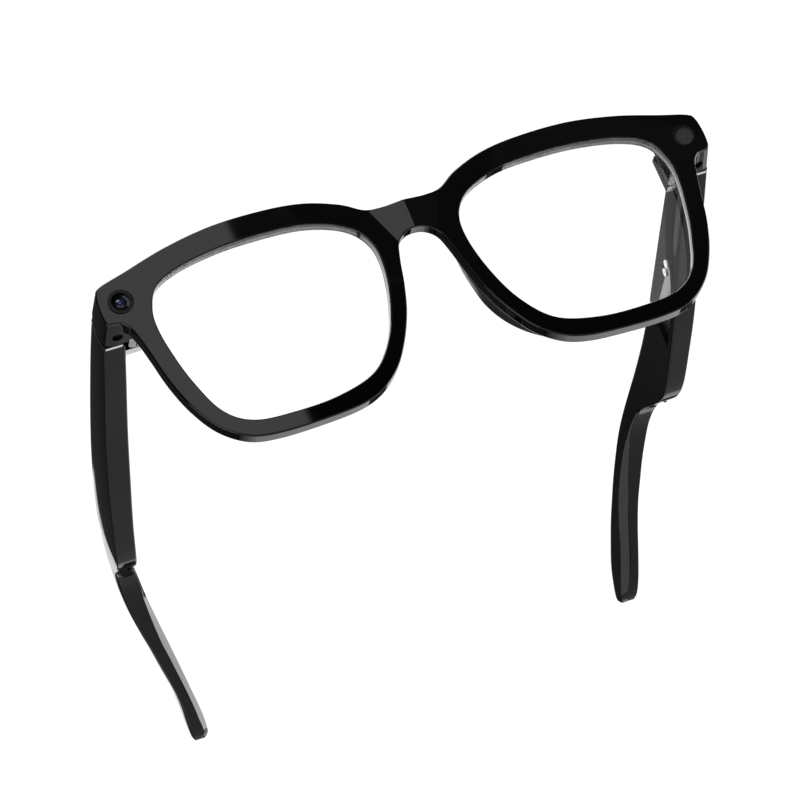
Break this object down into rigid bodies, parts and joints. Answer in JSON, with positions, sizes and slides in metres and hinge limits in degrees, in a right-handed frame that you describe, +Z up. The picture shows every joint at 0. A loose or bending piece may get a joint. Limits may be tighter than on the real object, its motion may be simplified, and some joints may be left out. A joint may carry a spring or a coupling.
{
  "type": "smart glasses",
  "caption": "Full-rim glasses with clear lenses, a camera and an indicator light in the endpieces, and thick folding temples that hold the electronics.",
  "frame": {"origin": "middle of the footprint on the ground, midway between the sides, with the rims and the temple tips standing on Z = 0", "axes": "+X to the wearer's left, +Y from the front back along the temples, +Z up"},
  "size_m": [0.144, 0.1448, 0.0509],
  "materials": {
    "frame_plastic": "polished",
    "temple_plastic": "polished",
    "lens_clear": "clear",
    "pad_plastic": "satin",
    "inner_plastic": "satin",
    "dark_metal": "dark anodised",
    "camera_glass": "coated",
    "sensor_housing": "moulded",
    "grey_ring": "satin",
    "indicator_plastic": "satin",
    "circuit_green": "solder resist",
    "flex_film": "film",
    "hinge_steel": "satin",
    "plate_metal": "polished",
    "contact_metal": "plated",
    "battery_foil": "foil",
    "shield_metal": "stamped",
    "speaker_body": "moulded",
    "magnet_metal": "plated",
    "mesh_black": "woven",
    "button_plastic": "satin"
  },
  "bodies": {
    "front": {"front_frame": "frame_plastic", "lens_right": "lens_clear", "lens_left": "lens_clear", "nose_pad_right": "pad_plastic", "nose_pad_left": "pad_plastic", "endpiece_cover_right": "frame_plastic", "endpiece_cover_left": "frame_plastic", "microphone_right": "mesh_black", "microphone_left": "mesh_black", "front_flex": "flex_film", "camera_trim": "dark_metal", "camera_window": "camera_glass", "camera_barrel": "dark_metal", "camera_module": "sensor_housing", "indicator_trim": "grey_ring", "indicator_window": "indicator_plastic", "indicator_board": "circuit_green", "hinge_bracket_right": "hinge_steel", "hinge_bracket_left": "hinge_steel", "hinge_screw_right": "hinge_steel", "hinge_screw_left": "hinge_steel"},
    "temple_right": {"temple_shell_right": "temple_plastic", "inner_cover_right": "inner_plastic", "end_plate_right": "plate_metal", "core_wire_right": "hinge_steel", "battery_right": "battery_foil", "speaker_right": "speaker_body", "speaker_port_right": "mesh_black", "main_board": "circuit_green", "processor_shield": "shield_metal", "button_switch": "sensor_housing", "touch_flex": "flex_film"},
    "temple_left": {"temple_shell_left": "temple_plastic", "inner_cover_left": "inner_plastic", "end_plate_left": "plate_metal", "core_wire_left": "hinge_steel", "battery_left": "battery_foil", "speaker_left": "speaker_body", "speaker_port_left": "mesh_black", "charge_board": "circuit_green", "charge_contact_front": "contact_metal", "charge_contact_rear": "contact_metal", "charge_magnet": "magnet_metal"},
    "button": {"capture_button": "button_plastic"}
  },
  "joints": [
    {"name": "temple_fold_left", "type": "hinge", "parent": "front", "child": "temple_left", "pos_m": [0.0636, -0.05829, 0.03981], "axis": [0, -0.0993, 0.9951], "range_deg": [0, 86]},
    {"name": "temple_fold_right", "type": "hinge", "parent": "front", "child": "temple_right", "pos_m": [-0.0636, -0.05829, 0.03981], "axis": [0, 0.0993, -0.9951], "range_deg": [0, 76]},
    {"name": "capture_press", "type": "slide", "parent": "temple_right", "child": "button", "axis": [0, -0.1028, -0.9947], "range_m": [0, 0.0004], "stiffness_N_per_m": 400}
  ]
}
